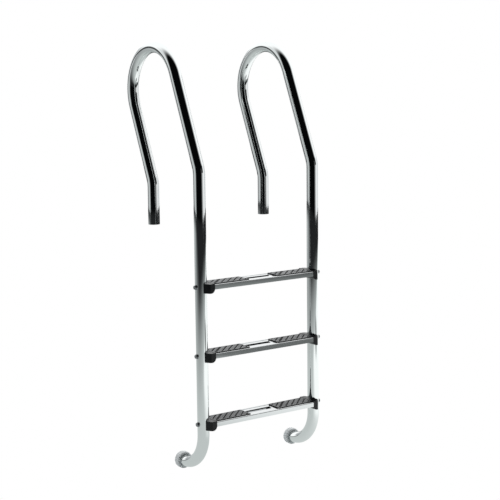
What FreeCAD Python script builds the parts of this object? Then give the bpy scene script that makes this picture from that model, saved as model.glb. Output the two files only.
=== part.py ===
import FreeCAD, Part
import math
import os
import Sketcher
from types import SimpleNamespace

from FreeCAD import Rotation, Vector

# Pool ladder: two bent stainless tubes that stand in deck anchors, three treads bolted between
# them and a soft bumper on each foot.
# Frame: origin midway between the two anchor legs, at their lower ends. +X runs from the left
# rail to the right rail, +Y from the water towards the deck, +Z up. Millimetres.

# Every driving size: (name, value, meaning).
DRIVING_SIZES = (
    ("rail_spacing", 500.0, "between the axes of the two rail tubes"),
    ("tube_diameter", 43.0, "outside of a rail tube"),
    ("tube_wall", 1.5, "wall of a rail tube"),
    ("leg_offset", 315.0, "from an anchor leg's axis to its stringer's axis"),
    ("leg_straight", 138.0, "straight stretch of an anchor leg"),
    ("rail_slant", 23.5, "lean of the handrail from upright, in degrees"),
    ("loop_top", 652.0, "top of the handrail's centre line above the leg ends"),
    ("loop_radius", 157.0, "centre line of the handrail's loop"),
    ("bend_radius", 90.0, "centre line of the bends below the loop"),
    ("foot_drop", 862.0, "from the leg ends down to the foot's centre line"),
    ("foot_radius", 128.0, "centre line of the bend above the foot"),
    ("foot_straight", 24.0, "straight tube end below the bend"),
    ("foot_showing", 1.0, "straight tube left outside the bumper"),
    ("tread_drop", 182.0, "from the leg ends down to the upper tread"),
    ("tread_pitch", 250.0, "from one tread to the next"),
    ("tread_depth", 88.0, "front to back of a tread"),
    ("channel_height", 18.0, "folded channel, top to bottom"),
    ("channel_sheet", 1.5, "sheet that the channel is folded from"),
    ("channel_fold", 3.0, "outer radius of the channel's long folds"),
    ("lip_width", 8.0, "raised lip along the front and back of a channel"),
    ("trough_depth", 1.5, "from the lips down to the floor that the pads lie on"),
    ("bead_width", 26.0, "stiffening bead pressed along the bare middle"),
    ("bead_depth", 9.0, "stiffening bead"),
    ("bead_lean", 2.3, "how far each wall of the bead leans in"),
    ("bead_setback", 4.0, "from the middle of the tread back to the middle of the bead"),
    ("bead_margin", 6.0, "from the end of the bead to a pad"),
    ("end_gap", 0.2, "between a channel and an end cap"),
    ("bare_middle", 127.0, "between the two pads of a tread"),
    ("pad_gap", 0.5, "between a pad and what is beside it"),
    ("pad_thickness", 4.0, "anti-slip pad, ribs included"),
    ("groove_width", 6.0, "drain groove across a pad, square to its run"),
    ("groove_depth", 1.2, "drain groove"),
    ("groove_pitch", 26.0, "from one drain groove to the next, along the tread"),
    ("pad_border", 4.0, "plain border round the grooves"),
    ("peg_diameter", 5.0, "peg under a pad"),
    ("peg_length", 6.0, "peg under a pad"),
    ("peg_inset", 14.0, "from a pad's edges to its pegs"),
    ("peg_clearance", 0.2, "round a peg in its hole, on the radius"),
    ("cap_reach", 31.0, "from the tube's axis to the inner face of an end cap"),
    ("cap_height", 34.0, "end cap, top to bottom"),
    ("cap_corner", 10.0, "from the tube's axis to the outer corner of the cap's long faces"),
    ("horn_reach", 3.0, "how far a cap's horns pass the tube's axis"),
    ("horn_thickness", 3.0, "plastic beside the tube at the tip of a horn"),
    ("saddle_clearance", 0.1, "between an end cap and the tube"),
    ("cap_belly", 16.0, "round under the inner end of a cap"),
    ("cap_corner_round", 8.0, "round on the upright corners of a cap"),
    ("cap_edge_round", 1.2, "round along the top edges of a cap"),
    ("core_wall", 3.5, "plastic left round the cores under a cap"),
    ("core_depth", 22.0, "cores under a cap"),
    ("bolt_drop", 11.0, "from the top of a channel down to the bolt's axis"),
    ("bolt_diameter", 8.0, "shank of a tread bolt"),
    ("bolt_clearance", 0.3, "round a bolt in its holes, on the radius"),
    ("bolt_tail", 3.0, "thread that stands past the nut"),
    ("hex_across_flats", 13.0, "bolt head and nut"),
    ("head_height", 5.3, "bolt head"),
    ("nut_height", 6.5, "nut"),
    ("thread_gap", 0.05, "between the bolt and the nut, on the radius"),
    ("saddle_washer_diameter", 18.0, "washer under a bolt head"),
    ("saddle_washer_crown", 2.0, "washer under a bolt head, at its thinnest"),
    ("flat_washer_diameter", 14.0, "washer under a nut"),
    ("flat_washer_thickness", 1.6, "washer under a nut"),
    ("washer_gap", 0.05, "between a saddle washer and the tube"),
    ("bumper_wall", 9.4, "soft wall round the tube in a foot bumper"),
    ("bumper_floor", 5.0, "between the tube's end and the bumper's outer face"),
    ("bumper_mouth", 2.5, "how far the mouth's bevel stands off the tube"),
    ("bumper_grip", 0.1, "between the bumper's bore and the tube"),
    ("bumper_round", 9.0, "round on the outer rim of a bumper"),
    ("mouth_round", 4.0, "round on the mouth rim of a bumper"),
)

SIDES = (("left", -1), ("right", 1))
LEVELS = ("upper", "middle", "lower")


class Size:
    """A number together with the spreadsheet formula that it comes from."""

    def __init__(self, value, formula):
        self.value = float(value)
        self.formula = formula

    def joined(self, sign, other, value):
        return Size(value, f"({self.formula} {sign} {as_size(other).formula})")

    def __add__(self, other):
        return self.joined("+", other, self.value + as_size(other).value)

    def __sub__(self, other):
        return self.joined("-", other, self.value - as_size(other).value)

    def __mul__(self, other):
        return self.joined("*", other, self.value * as_size(other).value)

    def __truediv__(self, other):
        return self.joined("/", other, self.value / as_size(other).value)


def as_size(number):
    """A plain number becomes a size of its own, and a size stays as it is."""
    if isinstance(number, Size):
        return number
    return Size(number, f"({number})")


def fill_sheet(doc):
    """Write the driving sizes into the spreadsheet and return them as named sizes."""
    sheet = doc.addObject("Spreadsheet::Sheet", "sizes")
    named = {}
    for row, (alias, value, meaning) in enumerate(DRIVING_SIZES, start=1):
        sheet.set(f"A{row}", meaning)
        sheet.set(f"B{row}", str(value))
        sheet.setAlias(f"B{row}", alias)
        named[alias] = Size(value, f"sizes.{alias}")
    doc.recompute()
    return SimpleNamespace(**named)


doc = FreeCAD.newDocument("pool_ladder")
size = fill_sheet(doc)

# Sizes that several pieces share.
tube_radius = size.tube_diameter / 2
half_spacing = size.rail_spacing / 2
half_depth = size.tread_depth / 2
stringer_y = size.leg_offset * -1
channel_end = half_spacing - size.cap_reach - size.end_gap
cap_top = size.pad_thickness - size.trough_depth
bolt_hole_radius = size.bolt_diameter / 2 + size.bolt_clearance
pad_depth = (half_depth - size.lip_width - size.trough_depth - size.pad_gap) * 2
pad_start = size.bare_middle / 2
pad_length = channel_end - pad_start
pad_middle = pad_start + pad_length / 2
peg_along = pad_length / 2 - size.peg_inset
peg_across = pad_depth / 2 - size.peg_inset
foot_end_y = stringer_y + size.foot_radius + size.foot_straight
foot_z = size.foot_drop * -1


def tread_z(level):
    """Height of the channel's top face at one level, counted from 0 at the upper tread."""
    return size.tread_drop * -1 - size.tread_pitch * level


# ---------------------------------------------------------------- helpers

def place(item, x=0, y=0, z=0):
    """Tie an item's position to the spreadsheet."""
    for axis, distance in (("x", x), ("y", y), ("z", z)):
        item.setExpression(f"Placement.Base.{axis}", as_size(distance).formula)


def new_body(name):
    body = doc.addObject("PartDesign::Body", name)
    body.Label = name
    return body


def origin_feature(body, role):
    return [item for item in body.Origin.OriginFeatures if item.Role == role][0]


def new_sketch(body, name, role, offset=None):
    """A sketch on one of the body's own origin planes, or at an offset from it."""
    sketch = body.newObject("Sketcher::SketchObject", name)
    sketch.AttachmentSupport = [(origin_feature(body, role), "")]
    sketch.MapMode = "FlatFace"
    if offset is not None:
        sketch.setExpression("AttachmentOffset.Base.z", offset.formula)
    return sketch


def tie(sketch, name, constraint, distance):
    """Add a dimension and tie it to the spreadsheet."""
    index = sketch.addConstraint(constraint)
    sketch.renameConstraint(index, name)
    sketch.setExpression(f"Constraints.{name}", as_size(distance).formula)


def pin_point(sketch, name, curve, end, x, y):
    """Give one end of a curve its place, from the sketch's origin."""
    x, y = as_size(x), as_size(y)
    tie(sketch, f"{name}_across", Sketcher.Constraint("DistanceX", curve, end, x.value), x)
    tie(sketch, f"{name}_up", Sketcher.Constraint("DistanceY", curve, end, y.value), y)


def add_outline(sketch, corners):
    """A closed outline of straight edges, with every corner tied to the spreadsheet."""
    first = sketch.GeometryCount
    points = [Vector(as_size(x).value, as_size(y).value, 0) for x, y in corners]
    following = points[1:] + points[:1]
    for start, end in zip(points, following):
        sketch.addGeometry(Part.LineSegment(start, end), False)
    last = sketch.GeometryCount - 1
    for edge in range(first, last):
        sketch.addConstraint(Sketcher.Constraint("Coincident", edge, 2, edge + 1, 1))
    sketch.addConstraint(Sketcher.Constraint("Coincident", last, 2, first, 1))
    for edge, (x, y) in enumerate(corners, start=first):
        pin_point(sketch, f"corner_{edge}", edge, 1, x, y)


def add_circle(sketch, x, y, radius):
    middle = Vector(as_size(x).value, as_size(y).value, 0)
    ring = sketch.addGeometry(Part.Circle(middle, Vector(0, 0, 1), radius.value), False)
    pin_point(sketch, f"middle_{ring}", ring, 3, x, y)
    tie(sketch, f"radius_{ring}", Sketcher.Constraint("Radius", ring, radius.value), radius)


def add_pad(body, sketch, length, both_ways=False, backwards=False):
    feature = body.newObject("PartDesign::Pad", f"{sketch.Name}_pad")
    feature.Profile = sketch
    feature.SideType = "Symmetric" if both_ways else "One side"
    feature.Reversed = backwards
    feature.setExpression("Length", length.formula)
    return feature


def add_pocket(body, sketch, length=None, both_ways=False, backwards=False):
    """A cut of the given length, or through everything."""
    feature = body.newObject("PartDesign::Pocket", f"{sketch.Name}_pocket")
    feature.Profile = sketch
    feature.SideType = "Symmetric" if both_ways else "One side"
    feature.Reversed = backwards
    if length is None:
        feature.Type = "ThroughAll"
    else:
        feature.setExpression("Length", length.formula)
    return feature


def add_pattern(body, feature, role, length, count, backwards=False):
    """Repeat a feature in a row along one of the body's own axes."""
    pattern = body.newObject("PartDesign::LinearPattern", f"{feature.Name}_row")
    pattern.Originals = [feature]
    pattern.Direction = (origin_feature(body, role), [""])
    pattern.Reversed = backwards
    pattern.Occurrences = count
    pattern.setExpression("Length", length.formula)
    body.Tip = pattern
    return pattern


def add_fillet(body, base, radius, wanted):
    """Round the edges of base whose every vertex passes the test."""
    doc.recompute()
    names = []
    for number, edge in enumerate(base.Shape.Edges, start=1):
        if all(wanted(vertex.Point) for vertex in edge.Vertexes):
            names.append(f"Edge{number}")
    if not names:
        raise RuntimeError(f"no edge to round on {base.Name}")
    fillet = body.newObject("PartDesign::Fillet", f"{base.Name}_round")
    fillet.Base = (base, names)
    fillet.setExpression("Radius", radius.formula)
    return fillet


def near(value, target):
    return abs(value - as_size(target).value) < 0.01


# ---------------------------------------------------------------- rails

def rail_path(sketch):
    """Centre line of a rail in its own plane: across is +Y, up is +Z, from the leg's lower end."""
    lean = math.radians(size.rail_slant.value)
    sine, cosine = math.sin(lean), math.cos(lean)
    bend, loop = size.bend_radius.value, size.loop_radius.value
    foot, offset = size.foot_radius.value, size.leg_offset.value
    leg_bend_middle = Vector(bend, size.leg_straight.value, 0)
    leg_bend_end = leg_bend_middle + Vector(-cosine, sine, 0) * bend
    loop_height = size.loop_top.value - loop
    return_length = (loop_height - loop * sine - leg_bend_end.y) / cosine
    loop_start = leg_bend_end + Vector(sine, cosine, 0) * return_length
    loop_middle = loop_start + Vector(-cosine, sine, 0) * loop
    loop_end = loop_middle + Vector(-cosine, sine, 0) * loop
    main_length = (loop_end.x + offset - bend * (1 - cosine)) / sine
    main_end = loop_end - Vector(sine, cosine, 0) * main_length
    top_bend_middle = main_end + Vector(cosine, -sine, 0) * bend
    stringer_top = Vector(-offset, top_bend_middle.y, 0)
    foot_middle = Vector(foot - offset, foot - size.foot_drop.value, 0)
    stringer_foot = Vector(-offset, foot_middle.y, 0)
    foot_start = Vector(foot_middle.x, foot_middle.y - foot, 0)
    foot_end = foot_start + Vector(size.foot_straight.value, 0, 0)

    def arc(middle, radius, start, end):
        ring = Part.Circle(middle, Vector(0, 0, 1), radius)
        return Part.ArcOfCircle(ring, start, end)

    curves = (
        Part.LineSegment(Vector(0, 0, 0), Vector(0, size.leg_straight.value, 0)),
        arc(leg_bend_middle, bend, math.pi - lean, math.pi),
        Part.LineSegment(leg_bend_end, loop_start),
        arc(loop_middle, loop, -lean, math.pi - lean),
        Part.LineSegment(loop_end, main_end),
        arc(top_bend_middle, bend, math.pi - lean, math.pi),
        Part.LineSegment(stringer_top, stringer_foot),
        arc(foot_middle, foot, math.pi, 1.5 * math.pi),
        Part.LineSegment(foot_start, foot_end),
    )
    for curve in curves:
        sketch.addGeometry(curve, False)
    leg, leg_bend, back, loop_arc, main, top_bend, stringer, foot_bend, toe = range(len(curves))
    start, end, middle = 1, 2, 3
    joints = (
        (leg, end, leg_bend, end),
        (leg_bend, start, back, start),
        (back, end, loop_arc, start),
        (loop_arc, end, main, start),
        (main, end, top_bend, start),
        (top_bend, end, stringer, start),
        (stringer, end, foot_bend, start),
        (foot_bend, end, toe, start),
    )
    for joint in joints:
        sketch.addConstraint(Sketcher.Constraint("Tangent", *joint))
    sketch.addConstraint(Sketcher.Constraint("Coincident", leg, start, -1, 1))
    sketch.addConstraint(Sketcher.Constraint("Vertical", leg))
    sketch.addConstraint(Sketcher.Constraint("Vertical", stringer))
    sketch.addConstraint(Sketcher.Constraint("Horizontal", toe))
    sketch.addConstraint(Sketcher.Constraint("Parallel", back, main))
    radii = (
        ("leg_bend", leg_bend, size.bend_radius),
        ("loop", loop_arc, size.loop_radius),
        ("top_bend", top_bend, size.bend_radius),
        ("foot_bend", foot_bend, size.foot_radius),
    )
    for name, curve, radius in radii:
        tie(sketch, name, Sketcher.Constraint("Radius", curve, radius.value), radius)
    upright = size.rail_slant * -1 + 90
    angle = Sketcher.Constraint("Angle", back, math.radians(upright.value))
    tie(sketch, "back_angle", angle, upright)
    heights = (
        ("leg_top", leg, end, size.leg_straight),
        ("loop_height", loop_arc, middle, size.loop_top - size.loop_radius),
        ("foot_height", toe, end, foot_z),
    )
    for name, curve, point, height in heights:
        tie(sketch, name, Sketcher.Constraint("DistanceY", curve, point, height.value), height)
    places = (
        ("stringer_place", stringer, start, stringer_y),
        ("foot_place", toe, end, foot_end_y),
    )
    for name, curve, point, across in places:
        tie(sketch, name, Sketcher.Constraint("DistanceX", curve, point, across.value), across)


def build_rail(name, side):
    """One bent tube, from the anchor leg over the hand loop and down the stringer to the foot."""
    body = new_body(name)
    path = new_sketch(body, f"{name}_path", "YZ_Plane")
    rail_path(path)
    section = new_sketch(body, f"{name}_section", "XY_Plane")
    add_circle(section, 0, 0, tube_radius)
    add_circle(section, 0, 0, tube_radius - size.tube_wall)
    tube = body.newObject("PartDesign::AdditivePipe", f"{name}_tube")
    tube.Profile = section
    tube.Spine = (path, [])
    hole = new_sketch(body, f"{name}_hole", "YZ_Plane")
    add_circle(hole, stringer_y, tread_z(0) - size.bolt_drop, bolt_hole_radius)
    drilled = add_pocket(body, hole, size.tube_diameter * 2, both_ways=True)
    rows = len(LEVELS)
    add_pattern(body, drilled, "Z_Axis", size.tread_pitch * (rows - 1), rows, backwards=True)
    place(body, half_spacing * side)


# ---------------------------------------------------------------- treads

def channel_section(inset):
    """Half-open section of a channel, from lip to lip; inset gives the inner face of the sheet."""
    shift = inset * math.tan(math.pi / 8)
    edge = half_depth - inset
    lip = half_depth - size.lip_width + shift
    floor = lip - size.trough_depth
    bottom = (size.channel_height + inset) * -1
    top = inset * -1
    trough = top - size.trough_depth
    return (
        (edge * -1, bottom),
        (edge * -1, top),
        (lip * -1, top),
        (floor * -1, trough),
        (floor, trough),
        (lip, top),
        (edge, top),
        (edge, bottom),
    )


def bead_section(inset):
    """Section of the stiffening bead: its groove, or with an inset the metal under it."""
    slope = math.atan2(size.bead_depth.value, size.bead_lean.value)
    top = size.bead_width / 2 + inset * math.tan(slope / 2)
    bottom = top - size.bead_lean
    floor = size.trough_depth * -1
    depth = floor - size.bead_depth - inset
    middle = size.bead_setback
    return (
        (middle - top, floor - inset),
        (middle - bottom, depth),
        (middle + bottom, depth),
        (middle + top, floor - inset),
        (middle + top, floor),
        (middle - top, floor),
    )


def build_channel(name, level):
    """Folded stainless pan, open below, whose ends are closed by the plates that the bolts clamp."""
    body = new_body(name)
    outside = new_sketch(body, f"{name}_outside", "YZ_Plane")
    add_outline(outside, channel_section(as_size(0)))
    block = add_pad(body, outside, channel_end * 2, both_ways=True)
    block = add_fillet(body, block, size.channel_fold,
                       lambda point: near(abs(point.y), half_depth) and near(point.z, 0))
    inside = new_sketch(body, f"{name}_inside", "YZ_Plane")
    add_outline(inside, channel_section(size.channel_sheet))
    hollow = add_pocket(body, inside, (channel_end - size.channel_sheet) * 2, both_ways=True)
    add_fillet(body, hollow, size.channel_fold - size.channel_sheet,
               lambda point: near(abs(point.y), half_depth - size.channel_sheet)
               and near(point.z, size.channel_sheet * -1))
    bead_length = size.bare_middle - size.bead_margin * 2
    bead = new_sketch(body, f"{name}_bead", "YZ_Plane")
    add_outline(bead, bead_section(size.channel_sheet))
    add_pad(body, bead, bead_length, both_ways=True)
    groove = new_sketch(body, f"{name}_groove", "YZ_Plane")
    add_outline(groove, bead_section(as_size(0))[1:3] + bead_section(as_size(0))[4:])
    add_pocket(body, groove, bead_length - size.channel_sheet * 2, both_ways=True)
    bolt = new_sketch(body, f"{name}_bolt", "YZ_Plane")
    add_circle(bolt, 0, size.bolt_drop * -1, bolt_hole_radius)
    add_pocket(body, bolt, channel_end * 3, both_ways=True)
    pegs = new_sketch(body, f"{name}_pegs", "XY_Plane")
    for _, side in SIDES:
        for end in (-1, 1):
            for edge in (-1, 1):
                x = (pad_middle + peg_along * end) * side
                add_circle(pegs, x, peg_across * edge, size.peg_diameter / 2 + size.peg_clearance)
    add_pocket(body, pegs, size.channel_height)
    place(body, 0, stringer_y, tread_z(level))


def build_pad(name, side, level):
    """Ribbed anti-slip pad that lies in the channel's trough and is held by four pegs."""
    body = new_body(name)
    half_length = pad_length / 2 - size.pad_gap
    half_width = pad_depth / 2
    bottom = size.trough_depth * -1
    plate = new_sketch(body, f"{name}_plate", "XY_Plane", bottom)
    corners = (
        (half_length * -1, half_width * -1),
        (half_length, half_width * -1),
        (half_length, half_width),
        (half_length * -1, half_width),
    )
    add_outline(plate, corners)
    add_pad(body, plate, size.pad_thickness)
    pegs = new_sketch(body, f"{name}_pegs", "XY_Plane", bottom)
    for end in (-1, 1):
        for edge in (-1, 1):
            add_circle(pegs, peg_along * end, peg_across * edge, size.peg_diameter / 2)
    add_pad(body, pegs, size.peg_length, backwards=True)
    # The grooves run at 45 degrees, from the front left to the back right.
    run = half_width - size.pad_border
    start = half_length * -1 + size.pad_border
    mouth = size.groove_width * math.sqrt(2)
    groove = new_sketch(body, f"{name}_groove", "XY_Plane", cap_top)
    corners = (
        (start, run * -1),
        (start + mouth, run * -1),
        (start + mouth + run * 2, run),
        (start + run * 2, run),
    )
    add_outline(groove, corners)
    cut = add_pocket(body, groove, size.groove_depth)
    room = (half_length - size.pad_border - run) * 2 - mouth
    gaps = int(room.value / size.groove_pitch.value)
    add_pattern(body, cut, "X_Axis", size.groove_pitch * gaps, gaps + 1)
    place(body, pad_middle * side, stringer_y, tread_z(level))


def build_cap(name, side, level):
    """Moulded end cap: a block between the tube and the channel, with a saddle for the tube."""
    body = new_body(name)
    inward = side * -1
    horn_y = tube_radius + size.horn_thickness
    plan = new_sketch(body, f"{name}_plan", "XY_Plane", cap_top)
    corners = (
        (size.cap_reach * inward, half_depth * -1),
        (size.cap_corner * inward, half_depth * -1),
        (size.horn_reach * side, horn_y * -1),
        (size.horn_reach * side, horn_y),
        (size.cap_corner * inward, half_depth),
        (size.cap_reach * inward, half_depth),
    )
    add_outline(plan, corners)
    block = add_pad(body, plan, size.cap_height, backwards=True)
    bottom = cap_top - size.cap_height
    block = add_fillet(body, block, size.cap_corner_round,
                       lambda point: near(point.x, size.cap_corner * inward))
    block = add_fillet(body, block, size.cap_belly,
                       lambda point: near(point.x, size.cap_reach * inward)
                       and near(point.z, bottom))
    block = add_fillet(body, block, size.cap_edge_round,
                       lambda point: near(point.z, cap_top)
                       and not near(point.x, size.horn_reach * side))
    saddle = new_sketch(body, f"{name}_saddle", "XY_Plane")
    add_circle(saddle, 0, 0, tube_radius + size.saddle_clearance)
    add_pocket(body, saddle, size.cap_height * 3, both_ways=True)
    bolt = new_sketch(body, f"{name}_bolt", "YZ_Plane")
    add_circle(bolt, 0, size.bolt_drop * -1, bolt_hole_radius)
    add_pocket(body, bolt, size.cap_reach * 3, both_ways=True)
    core = new_sketch(body, f"{name}_core", "XY_Plane", bottom)
    for edge in (-1, 1):
        near_x = size.cap_corner * inward
        far_x = (size.cap_reach - size.core_wall) * inward
        near_y = (tube_radius + size.core_wall) * edge
        far_y = (half_depth - size.core_wall) * edge
        add_outline(core, ((near_x, near_y), (far_x, near_y), (far_x, far_y), (near_x, far_y)))
    add_pocket(body, core, size.core_depth, backwards=True)
    place(body, half_spacing * side, stringer_y, tread_z(level))


# ---------------------------------------------------------------- foot bumpers

def build_bumper(name, side):
    """Soft cap pressed on the end of a foot, with a bevelled mouth and a rounded outer rim."""
    body = new_body(name)
    bore = tube_radius + size.bumper_grip
    mouth = bore + size.bumper_mouth
    rim = bore + size.bumper_wall
    depth = size.foot_straight - size.foot_showing
    profile = new_sketch(body, f"{name}_profile", "YZ_Plane")
    corners = (
        (depth * -1, mouth),
        (depth * -1 + size.bumper_mouth, bore),
        (0, bore),
        (0, 0),
        (size.bumper_floor, 0),
        (size.bumper_floor, rim),
        (depth * -1, rim),
    )
    add_outline(profile, corners)
    turned = body.newObject("PartDesign::Revolution", f"{name}_turned")
    turned.Profile = profile
    turned.ReferenceAxis = (profile, ["H_Axis"])
    turned.Angle = 360
    outer = add_fillet(body, turned, size.bumper_round,
                       lambda point: near(point.y, size.bumper_floor)
                       and near(math.hypot(point.x, point.z), rim))
    add_fillet(body, outer, size.mouth_round,
               lambda point: near(point.y, depth * -1)
               and near(math.hypot(point.x, point.z), rim))
    place(body, half_spacing * side, foot_end_y, foot_z)


# ---------------------------------------------------------------- fasteners

def lying_cylinder(name, radius, length, side, x, y, z):
    """A cylinder along X that starts at x and runs outwards on its side of the ladder."""
    cylinder = doc.addObject("Part::Cylinder", name)
    cylinder.setExpression("Radius", radius.formula)
    cylinder.setExpression("Height", length.formula)
    cylinder.Placement.Rotation = Rotation(Vector(0, 1, 0), 90 * side)
    place(cylinder, x * side, y, z)
    return cylinder


def lying_hexagon(name, length, side, x, y, z):
    """A hexagonal prism along X with its flats up and down, of the bolt heads' and nuts' size."""
    prism = doc.addObject("Part::Prism", name)
    prism.Polygon = 6
    prism.setExpression("Circumradius", (size.hex_across_flats / math.sqrt(3)).formula)
    prism.setExpression("Height", length.formula)
    flats_up = Rotation(Vector(0, 0, 1), 30)
    prism.Placement.Rotation = Rotation(Vector(0, 1, 0), 90 * side) * flats_up
    place(prism, x * side, y, z)
    return prism


def joined(kind, name, base, tool):
    result = doc.addObject(kind, name)
    result.Base = base
    result.Tool = tool
    return result


def build_bolt(name, side, y, z):
    """Hexagon bolt that enters from outside the rail."""
    inner = channel_end - size.channel_sheet - size.flat_washer_thickness - size.nut_height
    tail = inner - size.bolt_tail
    head = half_spacing + tube_radius + size.saddle_washer_crown + size.washer_gap
    shank = lying_cylinder(f"{name}_shank", size.bolt_diameter / 2, head - tail, side, tail, y, z)
    cap = lying_hexagon(f"{name}_head", size.head_height, side, head, y, z)
    return joined("Part::Fuse", name, shank, cap)


def build_nut(name, side, y, z):
    """Hexagon nut inside the channel, on the flat washer."""
    start = channel_end - size.channel_sheet - size.flat_washer_thickness - size.nut_height
    body = lying_hexagon(f"{name}_body", size.nut_height, side, start, y, z)
    radius = size.bolt_diameter / 2 + size.thread_gap
    hole = lying_cylinder(f"{name}_thread", radius, size.nut_height, side, start, y, z)
    return joined("Part::Cut", name, body, hole)


def build_flat_washer(name, side, y, z):
    """Plain washer between a nut and the channel's end plate."""
    start = channel_end - size.channel_sheet - size.flat_washer_thickness
    thickness = size.flat_washer_thickness
    radius = size.flat_washer_diameter / 2
    disc = lying_cylinder(f"{name}_disc", radius, thickness, side, start, y, z)
    hole = lying_cylinder(f"{name}_hole", bolt_hole_radius, thickness, side, start, y, z)
    return joined("Part::Cut", name, disc, hole)


def build_saddle_washer(name, side, y, z):
    """Washer between a bolt head and the tube, hollowed to sit on the tube."""
    start = half_spacing
    length = tube_radius + size.washer_gap + size.saddle_washer_crown
    radius = size.saddle_washer_diameter / 2
    disc = lying_cylinder(f"{name}_disc", radius, length, side, start, y, z)
    hole = lying_cylinder(f"{name}_hole", bolt_hole_radius, length, side, start, y, z)
    ring = joined("Part::Cut", f"{name}_ring", disc, hole)
    tube = doc.addObject("Part::Cylinder", f"{name}_tube")
    tube.setExpression("Radius", (tube_radius + size.washer_gap).formula)
    tube.setExpression("Height", (size.saddle_washer_diameter * 2).formula)
    place(tube, half_spacing * side, y, z - size.saddle_washer_diameter)
    return joined("Part::Cut", name, ring, tube)


def build_fasteners(name, builder):
    """One piece at each end of each tread, kept together as a group of separate solids."""
    pieces = []
    for level, level_name in enumerate(LEVELS):
        for side_name, side in SIDES:
            height = tread_z(level) - size.bolt_drop
            pieces.append(builder(f"{name}_{level_name}_{side_name}", side, stringer_y, height))
    group = doc.addObject("Part::Compound", name)
    group.Label = name
    group.Links = pieces


# ---------------------------------------------------------------- the ladder

nodes = []
for side_name, side in SIDES:
    build_rail(f"{side_name}_rail", side)
    build_bumper(f"{side_name}_foot_bumper", side)
    nodes += [f"{side_name}_rail", f"{side_name}_foot_bumper"]
for level, level_name in enumerate(LEVELS):
    build_channel(f"{level_name}_tread_channel", level)
    nodes.append(f"{level_name}_tread_channel")
    for side_name, side in SIDES:
        build_pad(f"{level_name}_tread_{side_name}_pad", side, level)
        build_cap(f"{level_name}_tread_{side_name}_cap", side, level)
        nodes += [f"{level_name}_tread_{side_name}_pad", f"{level_name}_tread_{side_name}_cap"]
fasteners = (
    ("tread_bolts", build_bolt),
    ("tread_nuts", build_nut),
    ("tread_flat_washers", build_flat_washer),
    ("tread_saddle_washers", build_saddle_washer),
)
for name, builder in fasteners:
    build_fasteners(name, builder)
    nodes.append(name)
doc.recompute()

# ---------------------------------------------------------------- checks and export

for item in doc.Objects:
    if "Invalid" in item.State or "Error" in item.State:
        raise RuntimeError(f"{item.Name} failed: {item.State}")
os.makedirs("parts", exist_ok=True)
for name in nodes:
    shape = doc.getObjectsByLabel(name)[0].Shape
    if shape.isNull() or not shape.isValid():
        raise RuntimeError(f"{name} has no valid shape")
    shape.exportStep(f"parts/{name}.step")
    print(f"{name}: {len(shape.Solids)} solids, {shape.Volume:.0f} mm3")
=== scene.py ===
# %% [markdown]
# # A pool ladder
# Two bent stainless tubes stand in deck anchors and hang down into the water. Three treads are bolted
# between them, and each foot ends in a soft bumper that rests on the pool wall. The sizes and places
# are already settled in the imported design, so this lesson only dresses it. Each visible piece is made
# again with the roundings, ribs and threads that a plain design leaves out, in metres and in the
# design's own frame: +X runs from the left rail to the right rail, +Y from the water to the deck.

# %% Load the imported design
import math

import bmesh
import bpy
from mathutils import Matrix, Vector


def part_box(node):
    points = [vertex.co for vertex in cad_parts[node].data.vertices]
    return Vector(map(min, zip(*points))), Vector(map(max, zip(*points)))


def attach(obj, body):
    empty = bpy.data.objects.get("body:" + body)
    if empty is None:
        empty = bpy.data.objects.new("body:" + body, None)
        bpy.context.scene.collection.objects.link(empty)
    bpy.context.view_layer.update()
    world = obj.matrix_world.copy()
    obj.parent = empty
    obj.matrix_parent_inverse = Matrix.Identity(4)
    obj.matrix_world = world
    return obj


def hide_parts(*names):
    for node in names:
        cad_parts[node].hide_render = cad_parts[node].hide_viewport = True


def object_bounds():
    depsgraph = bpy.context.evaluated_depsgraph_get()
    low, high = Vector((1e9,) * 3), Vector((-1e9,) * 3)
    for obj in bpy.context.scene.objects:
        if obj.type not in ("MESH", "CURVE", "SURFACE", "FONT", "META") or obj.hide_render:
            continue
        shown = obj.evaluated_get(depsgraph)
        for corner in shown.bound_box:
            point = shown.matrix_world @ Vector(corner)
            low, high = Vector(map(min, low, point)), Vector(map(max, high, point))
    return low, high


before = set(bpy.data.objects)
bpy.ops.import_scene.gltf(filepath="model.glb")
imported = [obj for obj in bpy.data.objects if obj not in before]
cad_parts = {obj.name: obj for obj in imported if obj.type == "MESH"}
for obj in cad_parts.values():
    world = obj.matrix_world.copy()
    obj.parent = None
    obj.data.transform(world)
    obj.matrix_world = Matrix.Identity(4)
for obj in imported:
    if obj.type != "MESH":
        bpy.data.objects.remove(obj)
cad_low, cad_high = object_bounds()
print("nodes in the design:", len(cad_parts))
print("size in mm:", [round(edge * 1000, 1) for edge in cad_high - cad_low])

# %% [markdown]
# ## Places that every piece shares
# A piece that is fitted by eye drifts, so the places come from the boxes of the design's own nodes.
# A box can't tell how a tube is bent or how thick a sheet is, so those few sizes are named here.

# %% Read the ladder's places
MM = 0.001
SIDES = (("left", -1), ("right", 1))
LEVELS = ("upper", "middle", "lower")

left_low, left_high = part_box("left_rail")
tube_radius = (left_high.x - left_low.x) / 2
half_spacing = -(left_high.x + left_low.x) / 2
stringer_y = left_low.y + tube_radius
foot_z = left_low.z + tube_radius
loop_top = left_high.z - tube_radius
tread_z = [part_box(f"{level}_tread_channel")[1].z for level in LEVELS]
channel_low, channel_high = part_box("upper_tread_channel")
channel_end = channel_high.x
half_depth = (channel_high.y - channel_low.y) / 2
channel_height = channel_high.z - channel_low.z
print("tube radius", round(tube_radius / MM, 2), "tread tops", [round(z / MM) for z in tread_z])

# %% [markdown]
# ## Helpers for turning outlines into pieces
# Most of the ladder is made by four workshop moves: a section swept along a bent line, a profile
# turned on a lathe, an outline cut from plate and a bar with a moulded section. bmesh does each of
# them in a few lines and keeps the faces in neat rows, which matters on mirror-bright metal: the
# reflections follow the rows.


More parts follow.
